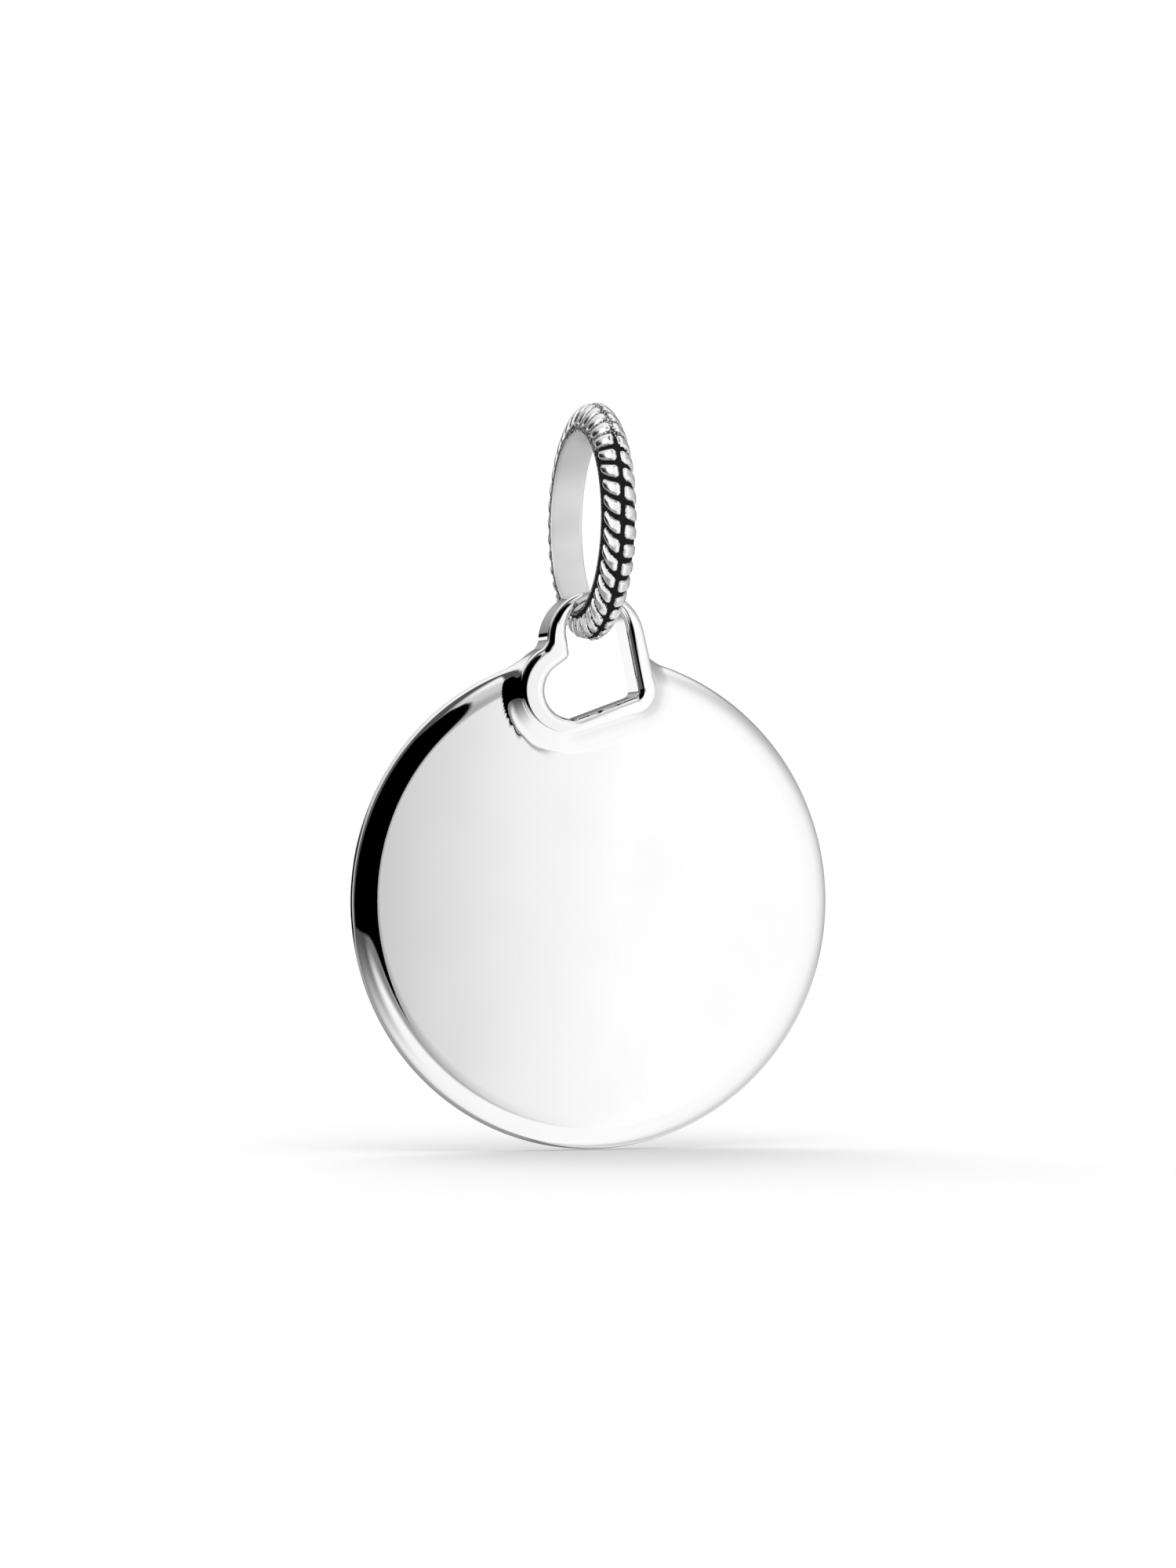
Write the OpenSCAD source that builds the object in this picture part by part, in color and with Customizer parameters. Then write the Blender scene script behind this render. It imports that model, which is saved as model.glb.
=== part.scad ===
// Round silver pendant with a heart-shaped eye, hanging from a closed rope-patterned bail ring.
// Millimetres, +Z up, the pendant's face looks along -Y.
// The origin is the inside top of the bail ring, where a chain carries it.

/* [Disc] */
// Diameter of the flat disc
disc_d = 22; // [16:0.5:30]
// Thickness of the disc between its two faces
disc_t = 1.24; // [0.9:0.05:1.6]
// Width of the soft rounding that runs from the face to the rim
rim_w = 1.05; // [0.4:0.05:2]

/* [Heart eye] */
// Radius of the upper lobe, in which the bail ring bears
lobe_r = 1.4; // [1.2:0.05:1.7]
// Radius of the lower left lobe
low_lobe_r = 1.25; // [0.9:0.05:1.4]
// Radius inside the heart's point
tip_r = 0.3; // [0.15:0.05:0.6]
// Height of the upper lobe's centre above the disc's rim
lobe_rise = 0.95; // [0.6:0.05:1.4]
// Distance of the lower lobe's centre to the left of the upper lobe's
low_lobe_x = 1.15; // [0.9:0.05:1.5]
// Distance of the lower lobe's centre below the upper lobe's
low_lobe_z = 2.62; // [2.5:0.04:3]
// Distance of the point's rounding to the right of the upper lobe's centre
tip_x = 1.65; // [1.4:0.05:2.1]
// Distance of the point's rounding below the upper lobe's centre
tip_z = 2.6; // [2.2:0.05:3]
// Distance of the corner between the lobes to the left of the upper lobe's centre
notch_x = 1.25; // [1.15:0.05:1.45]
// Distance of the corner between the lobes below the upper lobe's centre
notch_z = 1.14; // [0.9:0.05:1.3]
// Rounding of the eye's front and back edges
eye_round = 0.25; // [0.1:0.05:0.4]

/* [Heart frame] */
// Depth of the raised frame from front to back
frame_t = 2; // [1.9:0.1:2.6]
// Width of the frame round the eye
frame_w = 0.8; // [0.7:0.05:0.95]
// How far the frame's top round is centred below the upper lobe
frame_drop = 0.36; // [0:0.04:0.4]
// How far the frame's lower round is centred to the left of the lower lobe
frame_left = 0.45; // [0:0.05:0.6]
// Rounding of the frame's outer edges
frame_round = 0.2; // [0.1:0.05:0.3]
// Radius of the hollow fillet at the frame's foot, on both faces
foot_r = 0.16; // [0.08:0.04:0.2]

/* [Bail ring] */
// Inner diameter of the bail ring
ring_inner_d = 7.95; // [7:0.25:10]
// Width of the ring's band
ring_w = 1.5; // [1.1:0.05:1.6]
// Thickness of the band, from its flat inside to the crown of the rope
ring_t = 1.34; // [1.1:0.05:1.5]
// How much lower the rope is at the band's edges than at its crown
ring_crown = 1.1; // [0.5:0.05:1.15]
// Number of twists round the ring
twists = 38; // [24:1:48]
// Slant of the twists, as the number of twists that one spans from edge to edge
twist_slant = 1.5; // [0.5:0.1:2]
// Depth of the grooves between the twists
groove_depth = 0.15; // [0.05:0.01:0.2]
// Depth of the groove along the middle of the band
middle_depth = 0.12; // [0.04:0.01:0.16]
// Part of the relief that is left where the ring's top is worn smooth
worn_share = 0.4; // [0:0.1:1]

/* [Fit] */
// Running gap between the ring's band and the eye
bearing_gap = 0.1; // [0.06:0.01:0.2]

/* [Hidden] */

silver = [0.86, 0.86, 0.87];
oxidised_silver = [0.62, 0.62, 0.63];

disc_r = disc_d / 2;
ring_r = ring_inner_d / 2;
reach = frame_t / 2;
raised = (frame_t - disc_t) / 2;

// The band's two inside corners meet the upper lobe this far above its centre
corner_rise = sqrt(pow(lobe_r - bearing_gap, 2) - pow(ring_w / 2, 2));
// The ring's inside rises this much between the middle of the eye and the flat end of its wall
ring_sag = ring_r - sqrt(pow(ring_r, 2) - pow(reach - eye_round / 2, 2));
seat_rise = corner_rise - ring_sag;

ring_z = -ring_r;
pivot_z = -ring_inner_d - seat_rise;
disc_z = pivot_z - disc_r - lobe_rise;

// Points in the plane of the disc, from its centre
lobe = [0, disc_r + lobe_rise];
low_lobe = lobe - [low_lobe_x, low_lobe_z];
tip = lobe + [tip_x, -tip_z];
notch = lobe - [notch_x, notch_z];
frame_lobe = lobe - [0, frame_drop];
frame_low_lobe = low_lobe - [frame_left, 0];

// A cutting piece runs this far past what it cuts
past = 1;
// Straight sides lie this far inside the rounds that they join, so that they cross them cleanly
side_inset = 0.03;
edge_steps = 4;
rim_steps = 9;

function heading(v) = atan2(v[1], v[0]);
function toward(angle) = [cos(angle), sin(angle)];
function moved_out(points, by) = [for (p = points) [p[0] + by, p[1]]];
function turned_over(points) = [for (p = points) [p[0], -p[1]]];

// Direction of the normal of the line that touches circles a and b, on the left as seen from a
function touch(a, ra, b, rb) = heading(b - a) + acos((ra - rb) / norm(b - a));

// Direction from circle c to where a line from the point p touches it, 1 on the left or -1 right
function touch_from(c, r, p, side) = heading(p - c) + side * acos(r / norm(p - c));

// Edge shapes are lists of [distance out from the outline, height], from front to back.
// The rim of the disc is half an ellipse.
function rim_edge(half, across, steps) =
    [for (i = [0:2 * steps]) let (a = 90 * i / steps) [across * (sin(a) - 1), half * cos(a)]];

// A rounded edge has a quarter round at the front, a straight wall, and one at the back
function rounded_edge(half, size, steps) = concat(
    [for (i = [0:steps]) let (a = 90 * i / steps)
        [size * (sin(a) - 1), half - size * (1 - cos(a))]],
    [for (i = [steps:-1:0]) let (a = 90 * i / steps)
        [size * (sin(a) - 1), size * (1 - cos(a)) - half]]
);

// A flared edge cuts a wall and rounds the corners that it leaves at both faces
function flared_edge(half, size, steps) = concat(
    [[size, half + past]],
    [for (i = [0:steps]) let (a = 90 * i / steps)
        [size * (1 - sin(a)), half - size * (1 - cos(a))]],
    [for (i = [steps:-1:0]) let (a = 90 * i / steps)
        [size * (1 - sin(a)), size * (1 - cos(a)) - half]],
    [[size, -half - past]]
);

// The closed section of a hollow fillet that stands on a face and leans on a wall
function foot_section(face, size, steps) = concat(
    [[-size / 2, face + size], [-size / 2, face - size / 2], [size, face - size / 2]],
    [for (i = [0:steps]) let (a = 90 * i / steps)
        [size * (1 - sin(a)), face + size * (1 - cos(a))]]
);

// Closes an edge shape with a straight back, this far inward
function backed(edge, inward) = concat(
    [[-inward, edge[len(edge) - 1][1]], [-inward, edge[0][1]]], edge);

// Turns a closed section about the centre c
module turned(c, section) {
    translate([c[0], c[1], 0])
        rotate_extrude($fn = 96)
            polygon(section);
}

// Runs a closed section along the line from p to q, its outside on the left, and beyond both ends
module swept(p, q, section, beyond = [0, 0]) {
    way = toward(heading(q - p));
    start = p - beyond[0] * way;
    translate([start[0], start[1], 0])
        rotate([0, 0, heading(q - p) + 90])
            rotate([90, 0, 0])
                linear_extrude(height = norm(q - p) + beyond[0] + beyond[1])
                    polygon(moved_out(section, -side_inset));
}

// A round part of an outline, about the centre c, with a shaped edge
module disc_like(c, r, edge) {
    turned(c, backed(moved_out(edge, r), 0));
}

// A straight part of an outline, which runs between two rounds
module side(a, ra, b, rb, angle, inward, edge, beyond = [0, 0]) {
    swept(a + ra * toward(angle), b + rb * toward(angle), backed(edge, inward), beyond);
}

// The middle of an outline, which overlaps its rounds and sides
module core(points, height) {
    translate([0, 0, -height / 2])
        linear_extrude(height = height)
            polygon(points);
}

// Stands what is drawn in the plane of the disc upright, at the disc's height
module upright() {
    translate([0, 0, disc_z])
        rotate([90, 0, 0])
            children();
}

frame_r = lobe_r + frame_w;
frame_low_r = low_lobe_r + frame_w;
frame_tip_r = tip_r + frame_w;
frame_side = touch(frame_lobe, frame_r, tip, frame_tip_r);
frame_base = touch(tip, frame_tip_r, frame_low_lobe, frame_low_r);

// The raised heart, not yet pierced, its edges rounded
module frame() {
    edge = rounded_edge(reach, frame_round, edge_steps);
    inner = frame_tip_r / 2;
    disc_like(frame_lobe, frame_r, edge);
    disc_like(frame_low_lobe, frame_low_r, edge);
    disc_like(tip, frame_tip_r, edge);
    side(frame_lobe, frame_r, tip, frame_tip_r, frame_side, frame_tip_r, edge);
    side(tip, frame_tip_r, frame_low_lobe, frame_low_r, frame_base, frame_tip_r, edge);
    core([
        frame_lobe,
        frame_lobe + (frame_r - inner) * toward(frame_side),
        tip + inner * toward(frame_side),
        tip + inner * toward(frame_base),
        frame_low_lobe + (frame_low_r - inner) * toward(frame_base),
        frame_low_lobe
    ], frame_t);
}

// The hollow fillet round the frame's foot on one face
module foot_on(section) {
    turned(frame_low_lobe, moved_out(section, frame_low_r));
    turned(tip, moved_out(section, frame_tip_r));
    swept(frame_lobe + frame_r * toward(frame_side), tip + frame_tip_r * toward(frame_side), section);
    swept(tip + frame_tip_r * toward(frame_base),
        frame_low_lobe + frame_low_r * toward(frame_base), section);
}

// The fillet on both faces, kept to the flat of the disc
module foot() {
    section = foot_section(disc_t / 2, max(0.04, min(foot_r, raised - frame_round)), edge_steps);
    intersection() {
        cylinder(h = frame_t, r = disc_r - 0.8 * rim_w, center = true, $fn = 96);
        union() {
            foot_on(section);
            foot_on(turned_over(section));
        }
    }
}

eye_side = touch(lobe, lobe_r, tip, tip_r);
eye_base = touch(tip, tip_r, low_lobe, low_lobe_r);
eye_upper = touch_from(lobe, lobe_r, notch, -1);
eye_lower = touch_from(low_lobe, low_lobe_r, notch, 1);

// The heart-shaped eye, as the piece that is cut away, with its edges flared
module eye() {
    edge = flared_edge(reach, eye_round, edge_steps);
    inner = tip_r / 2;
    union() {
        core([
            lobe,
            lobe + (lobe_r - inner) * toward(eye_side),
            tip + inner * toward(eye_side),
            tip + inner * toward(eye_base),
            low_lobe + (low_lobe_r - inner) * toward(eye_base),
            low_lobe,
            low_lobe + (low_lobe_r - inner) * toward(eye_lower),
            notch - inner * toward(eye_lower),
            notch - inner * toward(eye_upper),
            lobe + (lobe_r - inner) * toward(eye_upper)
        ], frame_t + 2 * past);
        disc_like(lobe, lobe_r, edge);
        side(lobe, lobe_r, tip, tip_r, eye_side, tip_r, edge);
        disc_like(tip, tip_r, edge);
    }
    union() {
        side(tip, tip_r, low_lobe, low_lobe_r, eye_base, tip_r, edge);
        disc_like(low_lobe, low_lobe_r, edge);
    }
    union() {
        side(low_lobe, low_lobe_r, notch, 0, eye_lower, tip_r, edge, [0, tip_r]);
        side(notch, 0, lobe, lobe_r, eye_upper, tip_r, edge, [tip_r, 0]);
    }
}

// The plain disc with its rounded rim
module blank() {
    disc_like([0, 0], disc_r, rim_edge(disc_t / 2, rim_w, rim_steps));
}

// Disc and heart frame, cast in one piece
module disc() {
    color(silver)
        upright()
            difference() {
                union() {
                    blank();
                    frame();
                    foot();
                }
                eye();
            }
}

// The rope is worked out on a grid: steps along the ring, and places across the band from -1 to 1
steps_per_twist = 7;
ring_steps = twists * steps_per_twist;
places = [-1, -0.86, -0.6, -0.3, -0.08, 0.08, 0.3, 0.6, 0.86, 1];
bite = 0.25;

function ease(x) = let (t = min(1, max(0, x))) t * t * (3 - 2 * t);

// The worn stretch runs from the top of the ring about 50 degrees forward
function worn(angle) = ease((angle - 2) / 8) * (1 - ease((angle - 50) / 8));
function relief(angle) = 1 - (1 - worn_share) * worn(angle);

// Grooves between the twists: 0 on a twist's crest and 1 in its groove
function groove(turn) = pow(abs(cos(180 * turn)), 6);

// Slant of the twists across the band, steeper towards its edges
function slant(v) = twist_slant * (v + pow(v, 3)) / 4;

function rope_height(angle, v) =
    ring_t - ring_crown * (1 - sqrt(1 - pow(v * 0.999, 2)))
    - groove_depth * relief(angle) * groove(twists * angle / 360 - slant(v))
    - middle_depth * relief(angle) * exp(-pow(v / 0.16, 2));

function rope_point(angle, x, out) =
    [x, -(ring_r + out) * sin(angle), ring_z + (ring_r + out) * cos(angle)];

// One section of the rope: its outside from edge to edge, then its inside corners
function rope_section(angle) = concat(
    [for (v = places) rope_point(angle, v * ring_w / 2, rope_height(angle, v))],
    [rope_point(angle, ring_w / 2, -bite), rope_point(angle, -ring_w / 2, -bite)]
);

// Closed bail ring: rope outside, with a plain round inside
module bail_ring() {
    count = len(places) + 2;
    points = [for (i = [0:ring_steps - 1]) each rope_section(360 * i / ring_steps)];
    faces = [for (i = [0:ring_steps - 1]) let (here = i * count, next = ((i + 1) % ring_steps) * count)
        for (j = [0:count - 1]) let (k = (j + 1) % count)
            each [[here + j, next + j, here + k], [here + k, next + j, next + k]]];
    color(oxidised_silver)
        difference() {
            polyhedron(points = points, faces = faces);
            translate([0, 0, ring_z])
                rotate([0, 90, 0])
                    cylinder(h = ring_w + 2 * past, r = ring_r, center = true, $fn = 180);
        }
}

bail_ring();
disc();
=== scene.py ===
"""Round silver pendant with a heart-shaped eye and a rope-patterned bail ring.

The pendant's disc and its ring are made as fine meshes over the solids of the
frame, with silver and darkened silver made of nodes, and set on a pale floor
in soft studio light. Sizes are in metres; the shapes are worked out in
millimetres and turned into metres when a mesh is made.
"""

import math

import bpy
import numpy as np
from mathutils import Matrix, Vector


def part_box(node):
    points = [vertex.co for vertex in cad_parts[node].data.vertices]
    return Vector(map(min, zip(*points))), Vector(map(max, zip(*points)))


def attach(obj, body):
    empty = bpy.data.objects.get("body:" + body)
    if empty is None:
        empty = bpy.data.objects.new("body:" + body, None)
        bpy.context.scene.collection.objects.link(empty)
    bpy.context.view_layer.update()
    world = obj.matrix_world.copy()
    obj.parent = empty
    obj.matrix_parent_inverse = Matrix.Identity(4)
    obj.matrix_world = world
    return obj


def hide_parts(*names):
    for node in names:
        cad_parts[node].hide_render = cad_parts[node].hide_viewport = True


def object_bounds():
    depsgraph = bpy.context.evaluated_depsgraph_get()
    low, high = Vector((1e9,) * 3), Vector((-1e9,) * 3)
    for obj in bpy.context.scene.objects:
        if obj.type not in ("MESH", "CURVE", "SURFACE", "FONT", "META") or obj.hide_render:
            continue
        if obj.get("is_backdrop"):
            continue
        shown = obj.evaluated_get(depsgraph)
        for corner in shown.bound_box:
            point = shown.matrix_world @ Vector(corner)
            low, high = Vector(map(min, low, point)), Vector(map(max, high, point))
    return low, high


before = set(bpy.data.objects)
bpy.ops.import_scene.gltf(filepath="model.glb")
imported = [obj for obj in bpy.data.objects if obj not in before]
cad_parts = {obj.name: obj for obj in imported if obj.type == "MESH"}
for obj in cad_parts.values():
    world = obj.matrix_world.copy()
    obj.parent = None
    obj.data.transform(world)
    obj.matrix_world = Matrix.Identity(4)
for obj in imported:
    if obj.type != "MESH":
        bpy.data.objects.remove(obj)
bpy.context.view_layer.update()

bl_info = {
    "name": "Heart-eye pendant",
    "version": (1, 0, 0),
    "blender": (4, 5, 0),
    "location": "View3D > Sidebar > Pendant",
    "description": "Builds a silver disc pendant on a rope-patterned bail ring",
    "category": "Object",
}

MM = 1000.0


def length(name, default, description):
    """A size in metres, shown in the file's own unit."""
    return bpy.props.FloatProperty(
        name=name,
        description=description,
        default=default,
        precision=5,
        subtype="DISTANCE",
        unit="LENGTH",
    )


def colour(name, default, description):
    """A colour without alpha."""
    return bpy.props.FloatVectorProperty(
        name=name,
        description=description,
        default=default,
        min=0.0,
        max=1.0,
        size=3,
        subtype="COLOR",
    )


class DiscSizes(bpy.types.PropertyGroup):
    disc_r: length("Disc radius", 0.011, "From the middle of the disc to its rim")
    disc_t: length("Disc thickness", 0.00124, "Between the two faces")
    rim_w: length("Rim width", 0.00105, "Width of the rounding from face to rim")
    lobe_rise: length("Lobe rise", 0.00095, "Upper lobe's centre above the rim")
    lobe_r: length("Upper lobe radius", 0.0014, "Round in which the ring bears")
    low_lobe_r: length("Lower lobe radius", 0.00125, "Lower left round of the heart")
    tip_r: length("Point radius", 0.0003, "Rounding inside the heart's point")
    low_lobe_x: length("Lower lobe left", 0.00115, "Lower lobe left of the upper")
    low_lobe_z: length("Lower lobe down", 0.00262, "Lower lobe below the upper")
    tip_x: length("Point right", 0.00165, "Point to the right of the upper lobe")
    tip_z: length("Point down", 0.0026, "Point below the upper lobe")
    notch_x: length("Notch left", 0.00125, "Notch left of the upper lobe's centre")
    notch_z: length("Notch down", 0.00114, "Notch below the upper lobe's centre")
    eye_round: length("Eye edge rounding", 0.00025, "Front and back edges of the eye")
    frame_t: length("Frame depth", 0.002, "Raised frame from front to back")
    frame_w: length("Frame width", 0.00084, "Metal round the eye")
    frame_drop: length("Frame drop", 0.0004, "Frame's top round below the upper lobe")
    frame_left: length("Frame left", 0.00034, "Frame's lower round left of the lobe")
    frame_round: length("Frame rounding", 0.00027, "Outer edges of the frame")
    foot: length("Foot slope", 0.00032, "Slope between the frame's side and the face")
    foot_r: length("Foot fillet", 0.00028, "Hollow fillet at the slope's foot")


class RingSizes(bpy.types.PropertyGroup):
    inner_d: length("Inner diameter", 0.00795, "Plain round inside of the ring")
    band_w: length("Band width", 0.0015, "Width of the band")
    band_t: length("Band thickness", 0.00134, "From the inside to the crown")
    crown: length("Crown", 0.0011, "How much lower the rope is at its edges")
    corner_r: length("Inside corner", 0.00006, "Rounding of the inside corners")
    groove_d: length("Groove depth", 0.0002, "Between two twists")
    middle: length("Middle groove", -0.00011, "Middle groove right of the band's middle")
    middle_w: length("Middle groove width", 0.00017, "Between the two rows of cushions")
    twists: bpy.props.IntProperty(
        name="Twists",
        description="Twists round the whole ring",
        default=38,
        min=12,
        max=60,
    )
    worn: bpy.props.FloatProperty(
        name="Worn relief",
        description="Share of the relief left on the worn stretch",
        default=0.4,
        min=0.0,
        max=1.0,
        subtype="FACTOR",
    )


class Finishes(bpy.types.PropertyGroup):
    silver: colour("Silver", (0.965, 0.965, 0.965), "Polished silver")
    shade: colour("Silver shade", (0.90, 0.90, 0.895), "Silver with a breath of tarnish")
    patina: colour("Patina", (0.012, 0.011, 0.011), "Oxidised silver in the grooves")
    floor: colour("Floor", (0.9, 0.9, 0.9), "Pale floor")


class Value:
    """A node's output that Python's operators work on, one Math node each."""

    def __init__(self, net, socket):
        self.net, self.socket = net, socket

    def __add__(self, other):
        return self.net.maths("ADD", self, other)

    def __sub__(self, other):
        return self.net.maths("SUBTRACT", self, other)

    def __rsub__(self, other):
        return self.net.maths("SUBTRACT", other, self)

    def __mul__(self, other):
        return self.net.maths("MULTIPLY", self, other)

    def __truediv__(self, other):
        return self.net.maths("DIVIDE", self, other)

    def __rtruediv__(self, other):
        return self.net.maths("DIVIDE", other, self)

    def __neg__(self):
        return self.net.maths("MULTIPLY", self, -1.0)

    def __abs__(self):
        return self.net.maths("ABSOLUTE", self)

    __radd__ = __add__
    __rmul__ = __mul__


class Net:
    """A cleared node tree, and the few ways in which nodes are added to it."""

    def __init__(self, tree):
        self.tree = tree
        tree.nodes.clear()

    def add(self, kind, settings=None, inputs=None, output=0):
        """Adds a node: its settings first, then values or links for its sockets.

        A ramp's stops are places and greys. It returns the named output, or
        the node itself where there is none.
        """
        node = self.tree.nodes.new(kind)
        for name, value in (settings or {}).items():
            if name == "stops":
                ramp = node.color_ramp.elements
                while len(ramp) < len(value):
                    ramp.new(0.5)
                for stop, (place, grey) in zip(ramp, value):
                    stop.position = place
                    stop.color = (grey, grey, grey, 1.0)
            else:
                setattr(node, name, value)
        for name, value in (inputs or {}).items():
            if isinstance(value, Value):
                self.tree.links.new(value.socket, node.inputs[name])
            else:
                node.inputs[name].default_value = value
        if not node.outputs:
            return node
        return Value(self, node.outputs[output])

    def maths(self, kind, *values):
        return self.add(
            "ShaderNodeMath", {"operation": kind}, dict(enumerate(values))
        )

    def ease(self, value, low, high):
        """0 below low, 1 above high, and a smooth step between them."""
        return self.add(
            "ShaderNodeMapRange",
            {"interpolation_type": "SMOOTHSTEP"},
            {"Value": value, "From Min": low, "From Max": high},
        )

    def mix(self, share, a, b):
        """Colour a where share is 0 and colour b where it is 1."""
        return self.add(
            "ShaderNodeMix",
            {"data_type": "RGBA"},
            {0: share, 6: a, 7: b},
            output=2,
        )

    def noise(self, where, scale, detail=2.0, roughness=0.5):
        return self.add(
            "ShaderNodeTexNoise",
            None,
            {"Vector": where, "Scale": scale, "Detail": detail, "Roughness": roughness},
        )

    def stretched(self, where, scale, turn=(0.0, 0.0, 0.0)):
        """Coordinates turned and then stretched, for marks with a direction."""
        return self.add(
            "ShaderNodeMapping",
            {"vector_type": "POINT"},
            {"Vector": where, "Rotation": turn, "Scale": scale},
        )


def rgba(values):
    return (*values, 1.0)


def scratches(net, where):
    """Fine hairlines in three directions: thin ridges of stretched noise."""
    lines = None
    for turn, across in ((0.35, 5200.0), (-0.8, 6100.0), (1.35, 4700.0)):
        place = net.stretched(where, (across, across, 260.0), (0.0, turn, 0.0))
        line = net.ease(net.noise(place, 1.0, 1.0), 0.66, 0.74)
        lines = line if lines is None else net.maths("MAXIMUM", lines, line)
    return lines


def silver_material(looks):
    """Polished silver: a breath of tarnish in clouds, hairlines and slight waves."""
    material = bpy.data.materials.new("polished_silver")
    material.use_nodes = True
    net = Net(material.node_tree)
    where = net.add("ShaderNodeTexCoord", output="Object")
    clouds = net.ease(net.noise(where, 240.0, 4.0), 0.45, 0.75)
    lines = scratches(net, where)
    tint = net.mix(
        clouds * 0.3 + lines * 0.04, rgba(looks.silver), rgba(looks.shade)
    )
    waves = net.noise(where, 170.0, 1.0) + lines * 0.002
    bump = net.add(
        "ShaderNodeBump",
        None,
        {"Strength": 0.05, "Distance": 0.0001, "Height": waves},
    )
    surface = net.add(
        "ShaderNodeBsdfPrincipled",
        None,
        {
            "Metallic": 1.0,
            "Base Color": tint,
            "Roughness": 0.02 + clouds * 0.02 + lines * 0.02,
            "Normal": bump,
        },
    )
    net.add("ShaderNodeOutputMaterial", None, {"Surface": surface})
    return material


def rope_material(looks):
    """Oxidised silver: bright crests, and black patina that thins out speckled.

    The patina's share is the groove attribute pushed up and down by fine
    noise and cut with a soft threshold, so that its edge breaks into specks.
    """
    material = bpy.data.materials.new("oxidised_rope")
    material.use_nodes = True
    net = Net(material.node_tree)
    where = net.add("ShaderNodeTexCoord", output="Object")
    groove = net.add(
        "ShaderNodeAttribute",
        {"attribute_type": "GEOMETRY", "attribute_name": "groove"},
        output="Fac",
    )
    inside = net.add(
        "ShaderNodeAttribute",
        {"attribute_type": "GEOMETRY", "attribute_name": "inside"},
        output="Fac",
    )
    specks = net.noise(where, 12000.0, 2.0, 0.6) - 0.5
    clouds = net.noise(where, 900.0, 2.0) - 0.5
    dark = net.ease(groove * 0.9 + specks * 1.1 + clouds * 0.15, 0.42, 0.56)
    haze = net.ease(groove + clouds * 0.3, 0.05, 0.8)
    tint = net.mix(haze * 0.35, rgba(looks.silver), (0.6, 0.6, 0.6, 1))
    # painted shade: the ring's flat inside is tinted a darker grey in cloudy patches; its
    # extra roughness below is not painted
    tint = net.mix(inside * (0.6 + clouds * 0.3), tint, (0.7, 0.7, 0.71, 1))
    bump = net.add(
        "ShaderNodeBump",
        None,
        {"Strength": 0.6, "Distance": 0.00004, "Height": specks * groove},
    )
    surface = net.add(
        "ShaderNodeBsdfPrincipled",
        None,
        {
            "Metallic": 1.0 - dark * 0.8,
            "Base Color": net.mix(dark, tint, rgba(looks.patina)),
            "Roughness": 0.2 + haze * 0.08 + dark * 0.4 + inside * 0.2,
            "Specular IOR Level": 0.1,
            "Normal": bump,
        },
    )
    net.add("ShaderNodeOutputMaterial", None, {"Surface": surface})
    return material


class Disc:
    """The disc's sizes in millimetres and the points of its heart.

    x is right, y is back and z is up from the middle of the disc. Points of
    the heart lie in the plane of the disc.
    """

    def __init__(self, sizes):
        for name in DiscSizes.__annotations__:
            setattr(self, name, round(getattr(sizes, name) * MM, 6))
        self.lobe = np.array([0.0, self.disc_r + self.lobe_rise])
        self.low = self.lobe - [self.low_lobe_x, self.low_lobe_z]
        self.tip = self.lobe + [self.tip_x, -self.tip_z]
        self.notch = self.lobe - [self.notch_x, self.notch_z]


def capsule(p, a, ra, b, rb):
    """Distance from a strap round two circles.

    It is the distance to circle a before the strap's straight side, to circle
    b past it, and to the side itself between the two.
    """
    way = b - a
    size = np.hypot(*way)
    rel = p - a
    x = np.abs(rel[..., 0] * way[1] - rel[..., 1] * way[0]) / size
    y = (rel @ way) / size
    lean = (ra - rb) / size
    flat = math.sqrt(1 - lean * lean)
    along = flat * y - lean * x
    start = np.hypot(x, y) - ra
    end = np.hypot(x, y - size) - rb
    side = flat * x + lean * y - ra
    return np.where(along < 0, start, np.where(along > flat * size, end, side))


def polygon(p, corners):
    """Distance from a polygon: to its nearest edge, and negative inside it."""
    best = np.full(p.shape[:-1], np.inf)
    inside = np.zeros(p.shape[:-1], bool)
    for a, b in zip(corners, np.roll(corners, -1, axis=0)):
        edge = b - a
        rel = p - a
        t = np.clip((rel @ edge) / (edge @ edge), 0, 1)
        off = rel - t[..., None] * edge
        best = np.minimum(best, np.hypot(off[..., 0], off[..., 1]))
        rise = b[1] - a[1] if b[1] != a[1] else 1.0
        spans = (a[1] > p[..., 1]) != (b[1] > p[..., 1])
        inside ^= spans & (p[..., 0] < (b[0] - a[0]) * (p[..., 1] - a[1]) / rise + a[0])
    return np.where(inside, -best, best)


def joined(a, b, k):
    """Union of two distances whose inside corner is a fillet of radius k."""
    return np.maximum(k, np.minimum(a, b)) - np.hypot(
        np.maximum(k - a, 0), np.maximum(k - b, 0)
    )


def cut(a, b, k):
    """Distance a less distance b, with the edge between them rounded by k."""
    return -joined(-a, b, k)


def near(p, place, reach):
    """1 at a place and 0 at its reach, eased, to keep a rounding local."""
    t = np.clip(1 - np.hypot(p[..., 0] - place[0], p[..., 1] - place[1]) / reach, 0, 1)
    return t * t * (3 - 2 * t)


def touching(centre, radius, p, side):
    """Where a straight line from p touches a circle, on its given side."""
    way = p - centre
    angle = np.arctan2(way[1], way[0]) + side * np.arccos(radius / np.hypot(*way))
    return centre + radius * np.array([np.cos(angle), np.sin(angle)])


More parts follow.
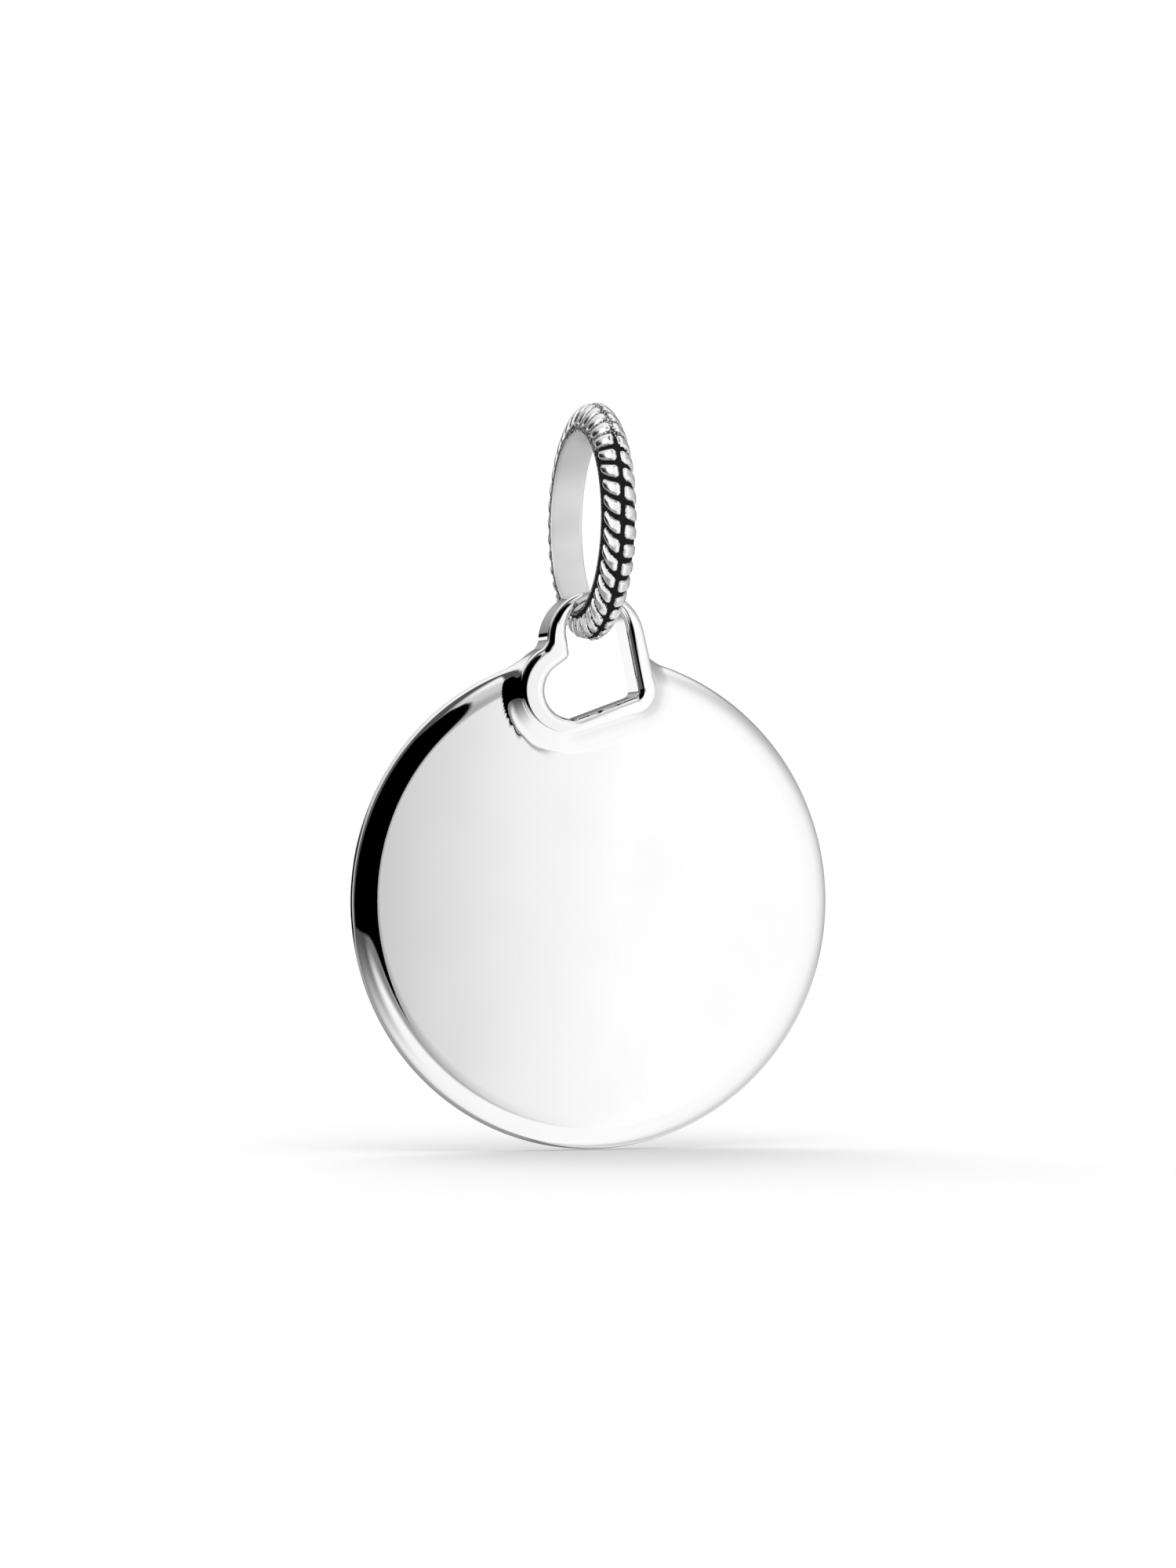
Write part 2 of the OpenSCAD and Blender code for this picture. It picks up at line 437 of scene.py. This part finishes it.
def eye_distance(p, d, fillet=0.2, reach=0.7):
    """Distance from the eye's outline.

    Each half of the heart is a strap from its lobe to the point, filled up to
    the notch and a little past it; the two halves are joined with a small
    fillet, which fades out at its reach from the notch.
    """
    halves = []
    for centre, radius, side in ((d.lobe, d.lobe_r, -1), (d.low, d.low_lobe_r, 1)):
        touch = touching(centre, radius, d.notch, side)
        way = d.notch - touch
        past = d.notch + 1.1 * way / np.hypot(*way)
        halves.append(
            np.minimum(
                capsule(p, centre, radius, d.tip, d.tip_r),
                polygon(p, np.array([centre, touch, past, d.tip])),
            )
        )
    return joined(*halves, fillet * near(p, d.notch, reach))


def frame_distance(p, d, fillet=0.35, reach=1.2):
    """Distance from the raised frame's outline.

    The halves are straps again, wider by the frame's width, and their outer
    notch, where the two rounds cross, has a fillet of its own. The crossing
    lies on the line between the centres, at x from the first, and then at a
    right angle to it by Pythagoras.
    """
    a = d.lobe - [0, d.frame_drop]
    b = d.low - [d.frame_left, 0]
    ra, rb, rt = d.lobe_r + d.frame_w, d.low_lobe_r + d.frame_w, d.tip_r + d.frame_w
    upper = np.minimum(
        capsule(p, a, ra, d.tip, rt), polygon(p, np.array([a, d.notch, d.tip]))
    )
    lower = np.minimum(
        capsule(p, b, rb, d.tip, rt), polygon(p, np.array([b, d.notch, d.tip]))
    )
    way = b - a
    gap = np.hypot(*way)
    x = (ra * ra - rb * rb + gap * gap) / (2 * gap)
    aside = np.array([way[1], -way[0]]) * math.sqrt(ra * ra - x * x)
    crossing = a + (way * x + aside) / gap
    return joined(upper, lower, fillet * near(p, crossing, reach))


def plate_distance(p, d):
    """Distance from the plain disc: a flat middle inside an elliptic rim.

    Past the flat, the offset outwards over the rim's width and the height over
    half the thickness make an ellipse; its value less one, over its slope, is
    the distance.
    """
    half = d.disc_t / 2
    out = np.hypot(p[..., 0], p[..., 2]) - (d.disc_r - d.rim_w)
    out = np.maximum(out, 0) / d.rim_w
    size = np.maximum(np.hypot(out, p[..., 1] / half), 1e-6)
    slope = np.hypot(out / d.rim_w, p[..., 1] / half**2) / size
    return (size - 1) / np.maximum(slope, 1e-6)


def disc_distance(p, d):
    """Distance from the finished disc.

    The frame's outline is extruded with rounded edges. Where the distances
    from it and from the plain disc add up to the foot's size or less, the
    sloping foot fills in. It joins the disc with a fillet; then the eye is cut
    out and its edges rounded.
    """
    flat = p[..., [0, 2]]
    side = frame_distance(flat, d) + d.frame_round
    face = np.abs(p[..., 1]) - d.frame_t / 2 + d.frame_round
    raised = (
        np.minimum(np.maximum(side, face), 0)
        + np.hypot(np.maximum(side, 0), np.maximum(face, 0))
        - d.frame_round
    )
    plate = plate_distance(p, d)
    raised = np.minimum(raised, (raised + plate - d.foot) / math.sqrt(2))
    body = joined(plate, raised, d.foot_r)
    return cut(body, eye_distance(flat, d), d.eye_round)


def settled(p, d, rounds, step=2e-4, least=0.2, longest=0.15):
    """Moves points onto the surface and gives its normals there.

    Each round steps back along the distance's slope by distance over slope.
    The slope is the difference over a small step both ways. Where it is weak,
    its square counts as the least value, and no move is longer than the
    longest.
    """
    steps = np.eye(3) * step
    for left in range(rounds, -1, -1):
        slope = np.stack(
            [disc_distance(p + s, d) - disc_distance(p - s, d) for s in steps], -1
        ) / (2 * step)
        if left:
            square = np.maximum((slope * slope).sum(-1), least)
            move = slope * (-disc_distance(p, d) / square)[..., None]
            size = np.sqrt((move * move).sum(-1))
            p = p + move * np.minimum(1, longest / np.maximum(size, 1e-9))[..., None]
    return p, slope / np.sqrt((slope * slope).sum(-1))[..., None]


def crossing_on(outline, start, way, far, halvings=44):
    """How far along each ray an outline is crossed, by halving the range."""
    low, high = np.zeros(len(way)), np.full(len(way), float(far))
    for _ in range(halvings):
        mid = (low + high) / 2
        outside = outline(start + way * mid[:, None]) > 0
        high = np.where(outside, mid, high)
        low = np.where(outside, low, mid)
    return (low + high) / 2


def eased(count):
    """Even steps from 0 to nearly 1 that are drawn closer at both ends."""
    return (1 - np.cos(np.pi * np.arange(count) / count)) / 2


def disc_surface(d, around=640):
    """Grid of points and normals over the whole disc.

    u goes round a centre inside the eye; v goes from the middle of the eye's
    wall over its edge, across the frame, down its side, out over the face and
    round the rim, and then the same way back behind. Rays from the centre give
    the distance of the eye, the frame, the flat and the rim, rows are spread
    between those, and all points are then settled onto the surface. In the
    last rounds each point also goes half way to its neighbours' mean, along
    the surface.
    """
    centre = np.array([0.1, d.disc_r - 0.8])

    def roots(angle):
        way = np.stack([np.cos(angle), np.sin(angle)], -1)
        eye = crossing_on(lambda q: eye_distance(q, d), centre, way, 4)
        outer = crossing_on(lambda q: frame_distance(q, d), centre, way, 6)
        rim = crossing_on(lambda q: np.hypot(*q.T) - d.disc_r, centre, way, 30)
        flat = crossing_on(
            lambda q: np.hypot(*q.T) - d.disc_r + d.rim_w, centre, way, 30
        )
        return way, eye, outer, rim, flat

    # the rays are spread by the lengths of the three outlines between them
    angle = np.linspace(0, 2 * np.pi, 4001)
    way, eye, outer, rim, flat = roots(angle)

    def run(r):
        steps = np.hypot(*np.diff(way * r[:, None], axis=0).T)
        return steps / steps.sum()

    weight = run(eye) + 0.8 * run(outer) + 0.7 * run(np.maximum(outer, rim)) + 1e-4
    total = np.concatenate([[0], np.cumsum(weight)])
    angle = np.interp(np.arange(around) / around * total[-1], total, angle)
    way, eye, outer, rim, flat = roots(angle)
    end = np.maximum(outer, rim)
    flat = np.clip(flat, outer + 0.5 * (end - outer), end)

    # Where the frame stands past the rim there is no face: the rows of its side
    # end, and those of the rim begin, at these shares of its half depth. They
    # ease over to the face's height within the reach.
    side_end, rim_start, reach = 0.72, 0.42, 1.2
    high, low = d.frame_t / 2, d.disc_t / 2
    share = np.clip((rim - outer) / reach, 0, 1)
    share = share * share * (3 - 2 * share)
    foot = low * share + side_end * high * (1 - share)
    edge = low * share + rim_start * high * (1 - share)
    top = np.full(around, high)

    wall_rows, face_rows, rim_rows = 8, 22, 17
    late = np.sin(np.pi / 2 * np.arange(wall_rows) / wall_rows)
    t = np.arange(face_rows) / face_rows
    early = 0.75 * (1 - np.cos(np.pi / 2 * t)) + 0.25 * t
    turn = np.arange(rim_rows) / rim_rows * np.pi / 2
    across, down = eased(11), eased(10)

    def spread(a, b, w):
        return a[:, None] * (1 - w) + b[:, None] * w

    out = np.concatenate(
        [
            spread(eye, eye, late),
            spread(eye, outer, across),
            spread(outer, outer, down),
            spread(outer, flat, early),
            spread(flat, end, np.sin(turn)),
        ],
        1,
    )
    up = np.concatenate(
        [
            spread(0 * top, top, late),
            spread(top, top, across),
            spread(top, foot, down),
            spread(foot, edge, early),
            edge[:, None] * np.cos(turn),
        ],
        1,
    )
    out = np.concatenate([out, end[:, None], out[:, :0:-1]], 1)
    up = np.concatenate([up, 0 * end[:, None], -up[:, :0:-1]], 1)
    place = centre + way[:, None, :] * out[..., None]
    p = np.stack([place[..., 0], -up, place[..., 1]], -1)
    p, n = settled(p, d, 6)
    for _ in range(4):
        sides = [(step, axis) for step in (1, -1) for axis in (0, 1)]
        mean = sum(np.roll(p, step, axis) for step, axis in sides) / 4 - p
        mean -= (mean * n).sum(-1)[..., None] * n
        p, n = settled(p + 0.5 * mean, d, 1)
    return settled(p, d, 3)


def swell(depth, width):
    """Quarter-round rise from 0 at an edge to 1 a width inside it."""
    t = np.clip(1 - depth / width, 0, 1)
    return np.where(depth > 0, np.sqrt(1 - t * t), 0)


def cornered(a, b, r):
    """Depth inside both of two edges, with the corner between them rounded."""
    return r - np.hypot(np.maximum(r - a, 0), np.maximum(r - b, 0))


def ring_section(mm):
    """The band's section, as places across it and out from its inner face.

    The outside is half an ellipse from edge to edge, given with its normals
    and its length so far; the inside is short walls, small corner rounds and
    a flat.
    """
    half, top, corner = mm["band_w"] / 2, mm["band_t"], mm["corner_r"]
    edge = mm["band_t"] - mm["crown"]
    theta = np.linspace(-np.pi / 2, np.pi / 2, 69)
    outside = np.stack([half * np.sin(theta), edge + (top - edge) * np.cos(theta)])
    lean = np.stack([np.sin(theta) / half, np.cos(theta) / (top - edge)])
    lean /= np.hypot(*lean)
    arc = np.hypot(half * np.cos(theta), (top - edge) * np.sin(theta))
    run = np.concatenate([[0], np.cumsum((arc[1:] + arc[:-1]) / 2 * np.diff(theta))])

    wall = np.linspace(edge, corner, 4)[1:]
    bend = np.linspace(0, np.pi / 2, 4)[1:]
    side = np.concatenate(
        [
            np.stack([np.full(3, half), wall]),
            np.stack(
                [half - corner + corner * np.cos(bend), corner - corner * np.sin(bend)]
            ),
        ],
        1,
    )
    flat = np.stack([np.linspace(half - corner, corner - half, 9)[1:-1], np.zeros(7)])
    inner = np.concatenate([side, flat, side[:, ::-1] * [[-1], [1]]], 1)
    return outside, lean, run, inner


def rope_cushions(sizes, mm, turn, across, run):
    """How far the rope's cushions have risen: 0 in a groove and 1 on a crest.

    Two rows of cushions lie on the outside, one on each side of the middle
    groove. A cushion's depth inside its edges is the smaller of its distances
    from the grooves before and after it and from the row's ends, with the
    corners rounded, and it swells as a quarter round over that depth. In the
    left row the grooves between twists drop from the edge, steeply at first
    and level at the middle; in the right row they slant evenly. Drops and the
    start are in twists, and other sizes are in millimetres.
    """
    start = 0.06
    left_drop, left_bow, left_margin, left_groove, left_flare = 0.8, 1.6, 0.03, 0.06, 0.03
    left_corner, left_swell = 0.24, 0.27
    right_drop, right_slant, right_margin, right_groove = 0.95, 0.25, 0.07, 0.1
    right_corner, right_swell = 0.2, 0.24

    left_end, right_start = (
        np.interp(mm["middle"] + sign * mm["middle_w"] / 2, across, run)
        for sign in (-1, 1)
    )
    pitch = 2 * np.pi * (mm["inner_d"] / 2 + mm["band_t"]) / sizes.twists

    w = np.clip(run / left_end, 0, 1)
    drop = left_drop * (1 - (1 - w) ** left_bow)
    slant = np.gradient(drop, run) * pitch
    phase = sizes.twists * turn - drop + start
    apart = np.abs(phase - np.round(phase)) * pitch / np.hypot(1, slant)
    ends = np.minimum(left_end - run, run - left_margin)
    left = cornered(apart - left_groove - left_flare * w, ends, left_corner)

    w = np.clip((run - right_start) / (run[-1] - right_start), 0, 1)
    phase = sizes.twists * turn - right_drop - right_slant * w + start
    apart = np.abs(phase - np.round(phase)) * pitch
    ends = np.minimum(run - right_start, run[-1] - right_margin - run)
    right = cornered(apart - right_groove, ends, right_corner)
    return np.maximum(swell(left, left_swell), swell(right, right_swell))


def rope_surface(sizes, columns=24):
    """Grid of points over the bail ring, its groove mask and its inside mask.

    u goes round the ring from its top towards the front; v goes round the
    section. The outside is lowered along its normal by the groove's depth
    where no cushion rises, less on the worn stretch and not at its edges. The
    groove mask is high in the grooves, lower where they are worn and part way
    up on the side walls, and the inside mask marks the flat inside.
    """
    lengths = (
        "inner_d", "band_w", "band_t", "crown", "corner_r", "groove_d", "middle", "middle_w"
    )
    mm = {name: getattr(sizes, name) * MM for name in lengths}
    (across, out), lean, run, inner = ring_section(mm)
    count = sizes.twists * columns
    turn = (np.arange(count) / count)[:, None]
    groove = 1 - rope_cushions(sizes, mm, turn, across, run)

    # the worn stretch, in degrees from the top, with its ease at either end
    worn_from, worn_to, worn_ease = -2, 52, 6
    degrees = 360 * turn
    on = np.clip((degrees - worn_from) / worn_ease, 0, 1)
    on = on * np.clip((worn_to - degrees) / worn_ease, 0, 1)
    relief = 1 - (1 - sizes.worn) * on * on * (3 - 2 * on)
    fade = np.clip(np.minimum(run, run[-1] - run) / 0.05, 0, 1)
    depth = relief * mm["groove_d"] * groove * fade

    plain = np.ones((count, 1))
    radius, corner = mm["inner_d"] / 2, mm["corner_r"]
    x = np.concatenate([across - lean[0] * depth, plain * inner[0]], 1)
    r = radius + np.concatenate([out - lean[1] * depth, plain * inner[1]], 1)
    angle = 2 * np.pi * turn
    points = np.stack([x, -r * np.sin(angle), -radius + r * np.cos(angle)], -1)
    wall_mask, worn_mask = 0.62, 0.35
    walls = np.where(inner[1] > corner * 0.4, wall_mask, 0)
    groove = groove * (worn_mask + (1 - worn_mask) * relief)
    groove = np.concatenate([groove, plain * walls], 1)
    # the inside mask marks the flat inside, which the material paints darker grey as
    # painted shade
    inside = np.concatenate([0 * across, inner[1] < corner / 2]) * plain
    return points, {"groove": groove, "inside": inside}


def closed_mesh(name, points, normals=None, masks=None, flip=False):
    """Mesh of a grid that is closed both ways: each cell is one quad."""
    n, m = points.shape[:2]
    i, j = np.meshgrid(np.arange(n), np.arange(m), indexing="ij")
    here, on = i * m + j, (i + 1) % n * m + j
    side, both = i * m + (j + 1) % m, (i + 1) % n * m + (j + 1) % m
    quads = np.stack([here, side, both, on] if flip else [here, on, both, side], -1)
    mesh = bpy.data.meshes.new(name)
    mesh.vertices.add(n * m)
    mesh.vertices.foreach_set("co", (points / MM).ravel().astype(np.float32))
    mesh.loops.add(4 * n * m)
    mesh.loops.foreach_set("vertex_index", quads.ravel().astype(np.int32))
    mesh.polygons.add(n * m)
    mesh.polygons.foreach_set("loop_start", np.arange(0, 4 * n * m, 4, dtype=np.int32))
    mesh.update(calc_edges=True)
    mesh.validate()
    mesh.polygons.foreach_set("use_smooth", np.ones(n * m, bool))
    for label, values in (masks or {}).items():
        layer = mesh.attributes.new(label, "FLOAT", "POINT")
        layer.data.foreach_set("value", values.ravel().astype(np.float32))
    if normals is not None:
        mesh.normals_split_custom_set_from_vertices(normals.reshape(-1, 3).tolist())
    mesh.update()
    return mesh


def placed(name, mesh, material, body, node):
    """A finished piece: its object, finish, body and node."""
    mesh.materials.append(material)
    piece = bpy.data.objects.new(name, mesh)
    bpy.context.scene.collection.objects.link(piece)
    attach(piece, body)
    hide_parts(node)


class BuildDisc(bpy.types.Operator):
    """Build the polished disc with its raised heart frame and eye"""

    bl_idname = "pendant.build_disc"
    bl_label = "Disc"

    def execute(self, context):
        d = Disc(context.scene.pendant_disc)
        points, normals = disc_surface(d)
        points[..., 2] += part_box("disc")[0][2] * MM + d.disc_r
        mesh = closed_mesh("polished_disc", points, normals, flip=True)
        placed(
            "polished_disc",
            mesh,
            silver_material(context.scene.pendant_finishes),
            "drop",
            "disc",
        )
        return {"FINISHED"}


class BuildRing(bpy.types.Operator):
    """Build the rope-patterned bail ring with its darkened grooves"""

    bl_idname = "pendant.build_ring"
    bl_label = "Bail ring"

    def execute(self, context):
        points, masks = rope_surface(context.scene.pendant_ring)
        mesh = closed_mesh("rope_ring", points, masks=masks)
        placed(
            "rope_ring",
            mesh,
            rope_material(context.scene.pendant_finishes),
            "bail",
            "bail_ring",
        )
        return {"FINISHED"}


# The studio's greys by heading: degrees from the front, right positive.
LEVEL = (
    (-180, 0.93), (-160, 0.93), (-153, 0.4), (-147, 0.0), (-114, 0.0), (-110, 0.7),
    (-106, 0.9), (-90, 0.8), (-84, 0.3), (-70, 0.2), (0, 0.2), (12.4, 0.42),
    (13.5, 0.53), (14.5, 0.71), (15.5, 0.85), (16.5, 0.965), (17.3, 1.0), (19, 0.97),
    (30, 0.95), (50, 0.92), (60, 0.85), (70, 0.79), (80, 0.72), (90, 0.65),
    (100, 0.54), (120, 0.48), (135, 0.4), (148, 0.1), (158, 0.03), (170, 0.05),
    (175, 0.7), (180, 0.93),
)
UPPER = (
    (-180, 0.8), (-155, 0.8), (-140, 0.7), (-120, 0.68), (-100, 0.74), (-85, 0.7),
    (-60, 0.5), (-25, 0.4), (-10, 0.6), (0, 0.6), (12, 0.68), (20, 0.86), (30, 0.82),
    (40, 0.74), (50, 0.68), (60, 0.61), (80, 0.52), (100, 0.45), (120, 0.36),
    (140, 0.29), (160, 0.4), (180, 0.8),
)
LOWER = (
    (-180, 0.3), (-150, 0.3), (-108, 0.4), (-105, 0.36), (-104, 0.02), (-102, 0.02),
    (-101, 0.4), (-90, 0.5), (-60, 0.8), (-30, 0.9), (0, 0.93), (30, 0.96), (50, 0.9),
    (70, 0.75), (90, 0.62), (110, 0.6), (125, 0.7), (150, 0.75), (158, 0.2),
    (170, 0.2), (180, 0.3),
)
# The black card's top edge by heading: 0.5 is the level, and 0.01 is one degree.
CARD_TOP = (
    (-180, 0.2), (-156, 0.2), (-153, 0.68), (-128, 0.68), (-118, 0.6), (-114, 0.2),
    (-85, 0.2), (-83, 0.5), (-70, 0.90), (-62, 0.99), (-25, 0.97), (-10, 0.88),
    (-3, 0.8), (3, 0.7), (10, 0.57), (12.0, 0.48), (12.8, 0.2), (180, 0.2),
)


def grey(value):
    return (value, value, value, 1.0)


def studio_world(scene):
    """Soft studio round the pendant, as a function of direction.

    Heading is 0 to 1 round the studio with the front at 0.5, and height is in
    degrees above the level. Each ramp gives a grey over heading for one
    height, and the ramps are mixed over height. A black card stands on the
    left; its top edge slopes, and its foot follows the floor's line. Only
    reflections see this. The camera sees plain white, and dull surfaces see
    an even dark grey.
    """
    world = bpy.data.worlds.new("studio")
    scene.world = world
    world.use_nodes = True
    world.cycles.sampling_method = "NONE"
    net = Net(world.node_tree)
    way = net.add("ShaderNodeTexCoord", output="Generated")
    x, y, z = (
        net.add("ShaderNodeSeparateXYZ", None, {"Vector": way}, output=axis)
        for axis in "XYZ"
    )
    heading = net.maths("ARCTAN2", x, -y) / (2 * math.pi) + 0.5
    height = net.maths("ARCSINE", z) * (180 / math.pi)
    white, black = grey(1.0), grey(0.0)

    def ramp(greys):
        stops = [(degrees / 360 + 0.5, value) for degrees, value in greys]
        return net.add("ShaderNodeValToRGB", {"stops": stops}, {"Fac": heading})

    greys = net.mix(net.ease(height, 8.0, 32.0), ramp(LEVEL), ramp(UPPER))
    ceiling = net.ease(height, 36.0, 56.0)
    greys = net.mix(ceiling, greys, grey(0.9))
    greys = net.mix(net.ease(height, -7.0, -14.0), greys, ramp(LOWER))
    # the floor darkens towards the card's foot on the left
    foot = net.ease(height, -44.0, -8.0) * net.ease(abs(heading - 0.32), 0.14, 0.07)
    greys = net.mix(foot, greys, grey(0.08))
    # far behind, a dark line 5 to 7 degrees up with grey above it
    behind = net.ease(abs(heading - 0.5), 0.42, 0.45)
    above = net.ease(height, 6.5, 7.5) * net.ease(height, 40.0, 4.0)
    greys = net.mix(behind * above, greys, grey(0.22))
    line = net.ease(height, 4.6, 5.2) * net.ease(height, 7.6, 7.0)
    greys = net.mix(behind * line, greys, black)
    under_top = net.ease(ramp(CARD_TOP) * 100.0 - 50.0 - height, -1.0, 1.0)
    floor_line = net.ease(heading, 0.33, 0.535) * 4.0 - 8.4
    over_floor = net.ease(height - floor_line, -0.4, 0.4)
    greys = net.mix(under_top * over_floor, greys, black)
    reflected = net.add("ShaderNodeLightPath", output="Is Glossy Ray")
    greys = net.mix(reflected, grey(0.3), greys)
    seen = net.add("ShaderNodeLightPath", output="Is Camera Ray")
    greys = net.mix(seen, greys, white)
    background = net.add(
        "ShaderNodeBackground", None, {"Color": greys, "Strength": 1.05}
    )
    net.add("ShaderNodeOutputWorld", None, {"Surface": background})


def add_floor(scene, looks, drop=0.00003, radius=0.6, corners=96):
    """Pale round floor just under the pendant, which reflections don't show."""
    angle = np.linspace(0, 2 * np.pi, corners, endpoint=False)
    rim = np.stack([np.cos(angle), np.sin(angle), 0 * angle], -1) * radius
    rim[:, 2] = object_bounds()[0][2] - drop
    mesh = bpy.data.meshes.new("floor")
    mesh.from_pydata(rim.tolist(), [], [list(range(corners))])
    material = bpy.data.materials.new("pale_floor")
    material.use_nodes = True
    net = Net(material.node_tree)
    where = net.add("ShaderNodeTexCoord", output="Object")
    grain = net.noise(where, 60.0, 3.0)
    darker = [0.98 * c for c in looks.floor]
    tint = net.mix(grain, rgba(looks.floor), rgba(darker))
    surface = net.add("ShaderNodeBsdfDiffuse", None, {"Color": tint, "Roughness": 0.5})
    net.add("ShaderNodeOutputMaterial", None, {"Surface": surface})
    mesh.materials.append(material)
    floor = bpy.data.objects.new("floor", mesh)
    scene.collection.objects.link(floor)
    floor.visible_glossy = False
    floor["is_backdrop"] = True


# Each soft sun's tilt from overhead, with the back positive, then its strength
# and its width. Tilts and widths are in degrees.
SUNS = ((58, 2.1, 80), (-58, 0.3, 80), (0, 1.9, 70))


def add_lamps(scene, size=(1.1, 0.5), away=0.3):
    """Soft suns behind, before and above, for the floor, and a box for the ring.

    The rear sun throws the shadow forwards, and no sun shows in the silver.
    The box stands where the disc sees the black card, and lights the ring
    alone; its power grows with its area.
    """
    for i, (tilt, energy, wide) in enumerate(SUNS):
        lamp = bpy.data.lights.new(f"overhead_{i}", "SUN")
        lamp.energy = energy
        lamp.angle = math.radians(wide)
        item = bpy.data.objects.new(lamp.name, lamp)
        item.rotation_euler = (math.radians(-tilt), 0, 0)
        item.visible_glossy = False
        scene.collection.objects.link(item)
    lamp = bpy.data.lights.new("ring_box", "AREA")
    lamp.shape = "RECTANGLE"
    lamp.size, lamp.size_y = size
    lamp.energy = 0.9 * math.pi * size[0] * size[1]
    item = bpy.data.objects.new("ring_box", lamp)
    way = Vector((-0.8, -0.6, 0.35)).normalized()
    item.location = way * away
    item.rotation_euler = way.to_track_quat("Z", "Y").to_euler()
    scene.collection.objects.link(item)
    lit = bpy.data.collections.new("lit_by_ring_box")
    lit.objects.link(bpy.data.objects["rope_ring"])
    item.light_linking.receiver_collection = lit


def add_camera(scene, middle, turn=16.4, tilt=-0.75, away=0.2, tall=0.06974):
    """Camera to the left of the pendant and a little below it.

    It stands away from its aim, which lies above the disc's middle and a
    little to its left, and its picture is so tall there.
    """
    a, e = math.radians(turn), math.radians(tilt)
    back = Vector(
        (-math.sin(a) * math.cos(e), -math.cos(a) * math.cos(e), math.sin(e))
    )
    right = Vector((math.cos(a), -math.sin(a), 0))
    up = back.cross(right)
    rise, aside = 0.00521, 0.000143
    aim = Vector((0, 0, middle + rise)) - right * aside
    data = bpy.data.cameras.new("camera")
    data.sensor_fit = "VERTICAL"
    data.angle = 2 * math.atan(tall / 2 / away)
    data.clip_start = 0.01
    data.clip_end = 10
    camera = bpy.data.objects.new("camera", data)
    turned = Matrix((right, up, back)).transposed().to_4x4()
    camera.matrix_world = Matrix.Translation(aim + back * away) @ turned
    scene.collection.objects.link(camera)
    scene.camera = camera


class BuildStage(bpy.types.Operator):
    """Build the pale floor, the soft studio light and the camera"""

    bl_idname = "pendant.build_stage"
    bl_label = "Stage"

    def execute(self, context):
        scene = context.scene
        disc_r = scene.pendant_disc.disc_r
        studio_world(scene)
        add_floor(scene, scene.pendant_finishes)
        add_lamps(scene)
        add_camera(scene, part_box("disc")[0][2] + disc_r)
        scene.view_settings.view_transform = "Standard"
        scene.view_settings.look = "None"
        return {"FINISHED"}


class PendantPanel(bpy.types.Panel):
    """The pendant's sizes, finishes and builders"""

    bl_idname = "VIEW3D_PT_pendant"
    bl_label = "Pendant"
    bl_space_type = "VIEW_3D"
    bl_region_type = "UI"
    bl_category = "Pendant"

    def draw(self, context):
        scene = context.scene
        for title, group, builder in GROUPS:
            box = self.layout.box()
            box.label(text=title)
            settings = getattr(scene, group)
            for name in type(settings).__annotations__:
                box.prop(settings, name)
            box.operator(builder)


GROUPS = (
    ("Disc", "pendant_disc", BuildDisc.bl_idname),
    ("Bail ring", "pendant_ring", BuildRing.bl_idname),
    ("Finishes", "pendant_finishes", BuildStage.bl_idname),
)
CLASSES = (
    DiscSizes,
    RingSizes,
    Finishes,
    BuildDisc,
    BuildRing,
    BuildStage,
    PendantPanel,
)


def register():
    for item in CLASSES:
        bpy.utils.register_class(item)
    scene = bpy.types.Scene
    scene.pendant_disc = bpy.props.PointerProperty(type=DiscSizes)
    scene.pendant_ring = bpy.props.PointerProperty(type=RingSizes)
    scene.pendant_finishes = bpy.props.PointerProperty(type=Finishes)


def unregister():
    for name in ("pendant_disc", "pendant_ring", "pendant_finishes"):
        delattr(bpy.types.Scene, name)
    for item in reversed(CLASSES):
        bpy.utils.unregister_class(item)


def main():
    register()
    bpy.ops.pendant.build_disc()
    bpy.ops.pendant.build_ring()
    bpy.ops.pendant.build_stage()


if __name__ == "__main__":
    main()
